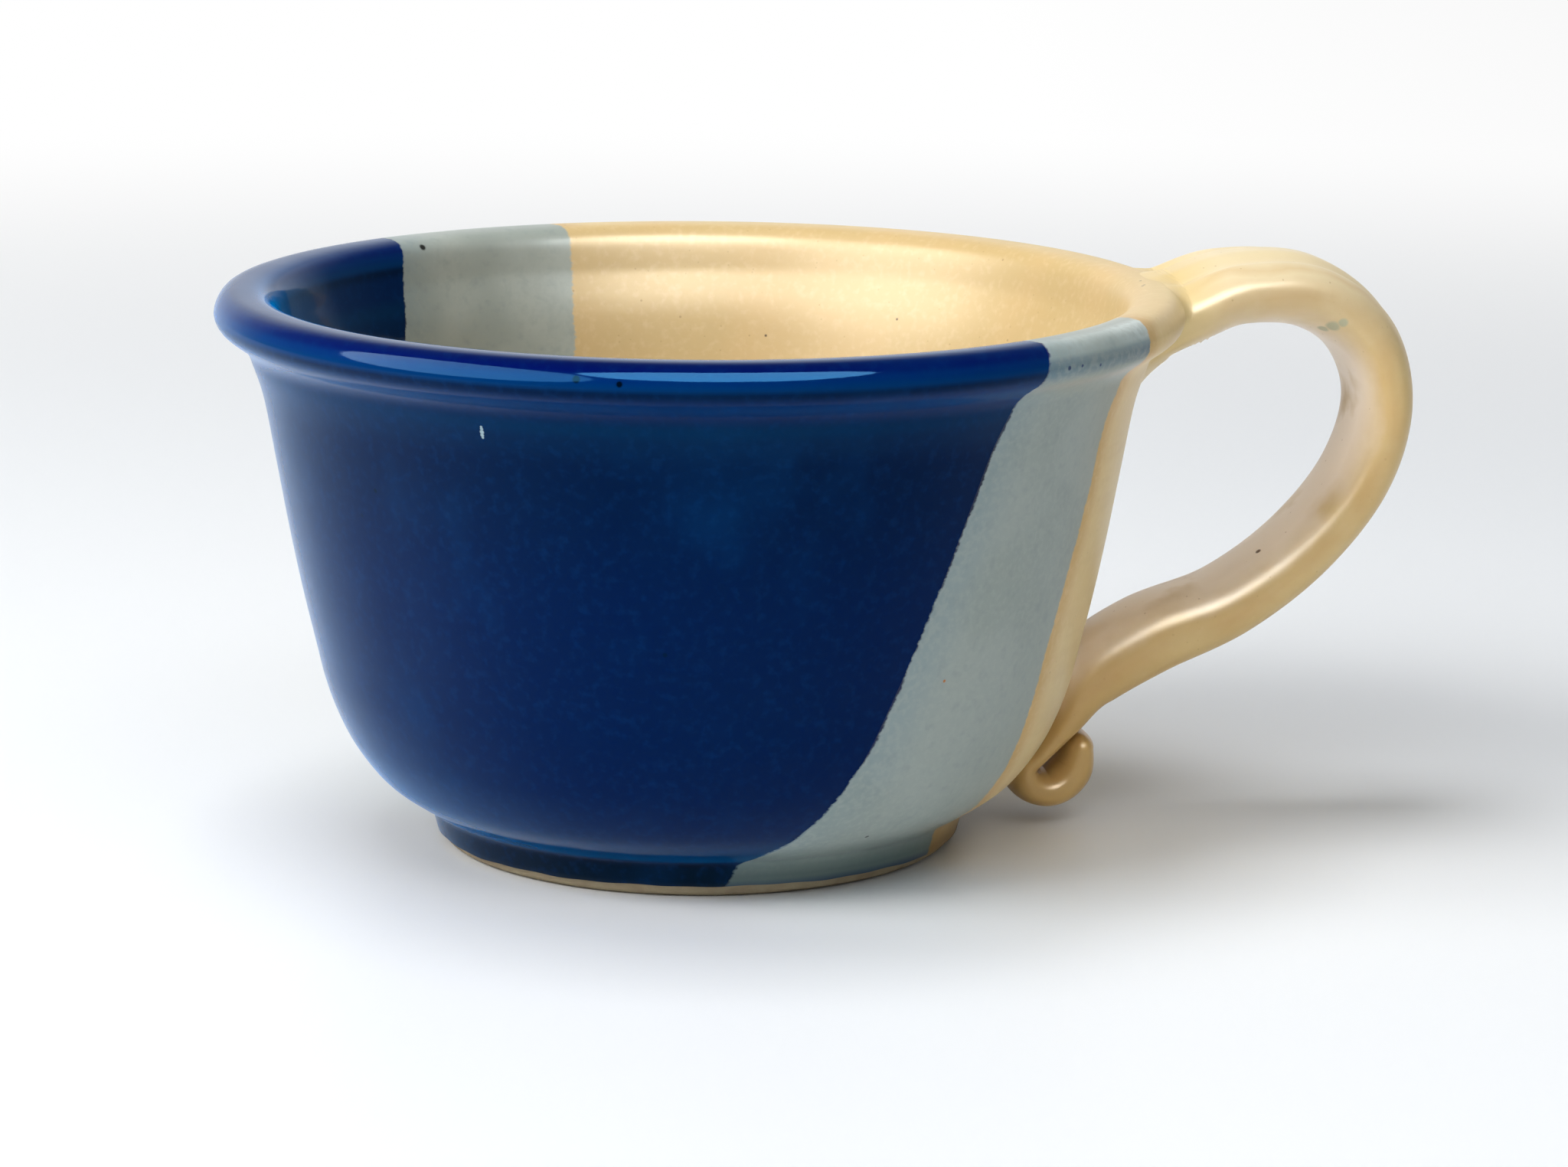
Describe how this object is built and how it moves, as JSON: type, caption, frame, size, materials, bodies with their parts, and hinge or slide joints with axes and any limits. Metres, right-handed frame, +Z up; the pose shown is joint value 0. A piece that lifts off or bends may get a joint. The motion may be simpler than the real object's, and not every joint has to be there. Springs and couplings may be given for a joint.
{
  "type": "soup mug",
  "caption": "Wide thrown stoneware soup mug with a rolled lip, a low foot ring, a grooved strap handle with a scrolled tail and three-colour dipped glaze.",
  "frame": {"origin": "centre of the foot ring on the table", "axes": "+Z up along the bowl's axis, +X from the bowl's axis out along the handle"},
  "size_m": [0.1639, 0.13, 0.079],
  "materials": {
    "bare_clay": "unglazed",
    "cobalt_glaze": "gloss",
    "grey_glaze": "satin",
    "cream_glaze": "gloss",
    "handle_glaze": "gloss",
    "slip": "unglazed"
  },
  "bodies": {
    "root": {"bowl": "bare_clay", "cobalt_glaze": "cobalt_glaze", "grey_glaze": "grey_glaze", "cream_glaze": "cream_glaze", "handle": "handle_glaze", "upper_slip": "slip", "lower_slip": "slip"}
  },
  "joints": []
}
